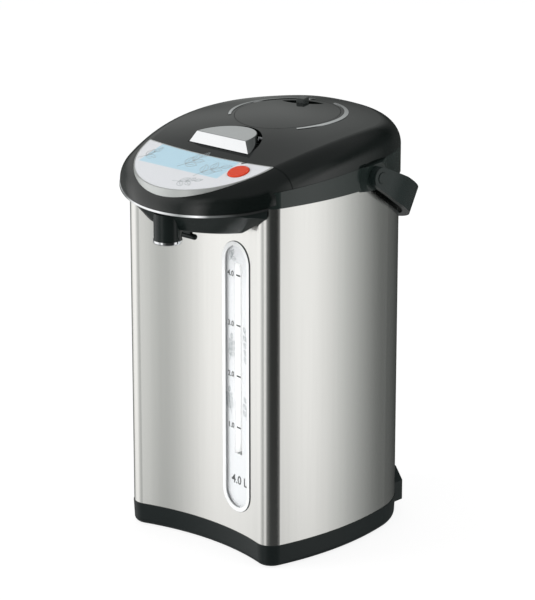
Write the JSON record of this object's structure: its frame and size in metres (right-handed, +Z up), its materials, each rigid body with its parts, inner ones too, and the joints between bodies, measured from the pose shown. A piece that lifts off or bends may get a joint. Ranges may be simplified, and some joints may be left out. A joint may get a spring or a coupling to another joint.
{
  "type": "electric thermo pot",
  "caption": "Electric thermo pot: brushed steel body with dished front and sight gauge, hinged gloss lid with pump plate, beak with spout and control panel, swinging handle.",
  "frame": {"origin": "on the table, under the middle of the pot's overall width and length, beak and handle included", "axes": "+Z up, -Y towards the spout and control panel, +X to the right of someone who faces the front"},
  "size_m": [0.2192, 0.2656, 0.3718],
  "materials": {
    "brushed_skin": "vertically brushed stainless sheet, satin",
    "tank_steel": "drawn stainless steel, satin inside",
    "zinc_steel": "zinc plated steel screws and pins",
    "shield_steel": "plain pressed sheet",
    "chrome_plate": "bright chrome on moulded plastic",
    "gloss_black": "high gloss black moulding",
    "dark_plastic": "dark grey green moulding, half gloss",
    "base_plastic": "dark grey green moulding, satin",
    "handle_plastic": "dark grey green moulding, half gloss",
    "inner_plastic": "natural white moulding",
    "silver_plastic": "silver painted moulding",
    "label_white": "printed film",
    "label_grey": "printed film",
    "orange_plastic": "orange red moulding",
    "clear_plastic": "clear moulding",
    "tube_glass": "clear glass tube",
    "silicone": "translucent silicone rubber",
    "foot_rubber": "black rubber",
    "board_green": "circuit board",
    "motor_can": "plated motor can",
    "heater_alloy": "cast heater plate",
    "mica_band": "mica band heater",
    "pin_brass": "nickel plated brass pins",
    "lock_plastic": "grey moulding"
  },
  "bodies": {
    "body": {"base_cup": "base_plastic", "base_plate": "base_plastic", "base_feet": "foot_rubber", "base_screws": "zinc_steel", "outer_shell": "brushed_skin", "gauge_frame": "silver_plastic", "gauge_window": "clear_plastic", "gauge_label": "label_grey", "tube_channel": "inner_plastic", "sight_tube": "tube_glass", "tank": "tank_steel", "heater_plate": "heater_alloy", "thermostats": "inner_plastic", "band_heater": "mica_band", "heat_shield": "shield_steel", "pump_housing": "inner_plastic", "pump_motor": "motor_can", "riser_hose": "silicone", "spout_hose": "silicone", "inlet_hose": "silicone", "power_board": "board_green", "inlet_housing": "base_plastic", "inlet_pins": "pin_brass", "collar": "dark_plastic", "rim_seal": "silicone", "hinge_pin": "zinc_steel", "console_shell": "gloss_black", "panel_bezel": "silver_plastic", "panel_label": "label_white", "control_board": "board_green", "beak_hull": "dark_plastic", "chrome_strip": "chrome_plate", "spout_nozzle": "dark_plastic", "spout_ring": "chrome_plate", "cup_pin": "zinc_steel", "handle_pivots": "chrome_plate"},
    "lid": {"lid_shell": "gloss_black", "lid_trim_arcs": "chrome_plate", "lid_inner": "inner_plastic", "lid_screws": "zinc_steel", "lid_gasket": "silicone", "steam_valve": "inner_plastic", "bellows": "silicone", "lever_pin": "zinc_steel"},
    "plate": {"pump_disc": "gloss_black"},
    "lock": {"lock_knob": "lock_plastic"},
    "lever": {"lid_lever": "chrome_plate"},
    "bolt": {"latch_bolt": "inner_plastic"},
    "button": {"dispense_button": "orange_plastic"},
    "cup": {"cup_lever": "dark_plastic"},
    "handle": {"handle_bail": "handle_plastic"},
    "impeller": {"pump_impeller": "inner_plastic"}
  },
  "joints": [
    {"name": "lid_hinge", "type": "hinge", "parent": "body", "child": "lid", "pos_m": [0, 0.11493, 0.34246], "axis": [-1, 0, 0], "range_deg": [0, 75]},
    {"name": "pump_press", "type": "slide", "parent": "lid", "child": "plate", "axis": [0, 0, -1], "range_m": [0, 0.014], "stiffness_N_per_m": 300, "springref_m": -0.01, "deforming": ["bellows"]},
    {"name": "lock_turn", "type": "hinge", "parent": "plate", "child": "lock", "pos_m": [0, 0.02744, 0.365], "axis": [0, 0, 1], "range_deg": [-8, 8]},
    {"name": "lever_lift", "type": "hinge", "parent": "lid", "child": "lever", "pos_m": [0, -0.02756, 0.3554], "axis": [-1, 0, 0], "range_deg": [0, 25], "stiffness_Nm_per_rad": 0.08, "springref_deg": -22.92},
    {"name": "latch_slide", "type": "slide", "parent": "lid", "child": "bolt", "axis": [0, 1, 0], "range_m": [0, 0.004]},
    {"name": "button_press", "type": "slide", "parent": "body", "child": "button", "axis": [0, 0.2873, -0.9578], "range_m": [0, 0.0012], "stiffness_N_per_m": 800, "springref_m": -0.0008},
    {"name": "cup_push", "type": "hinge", "parent": "body", "child": "cup", "pos_m": [0, -0.09656, 0.2934], "axis": [1, 0, 0], "range_deg": [0, 12], "stiffness_Nm_per_rad": 0.02, "springref_deg": -17.19},
    {"name": "handle_swing", "type": "hinge", "parent": "body", "child": "handle", "pos_m": [0, 0.02543, 0.327], "axis": [1, 0, 0], "range_deg": [0, 120]},
    {"name": "pump_spin", "type": "hinge", "parent": "body", "child": "impeller", "pos_m": [0.02, -0.02957, 0.03], "axis": [0, 0, 1], "continuous": true}
  ],
  "couplings": [
    {"joint": "latch_slide", "follows": "lever_lift", "m_per_rad": 0.0091673}
  ]
}
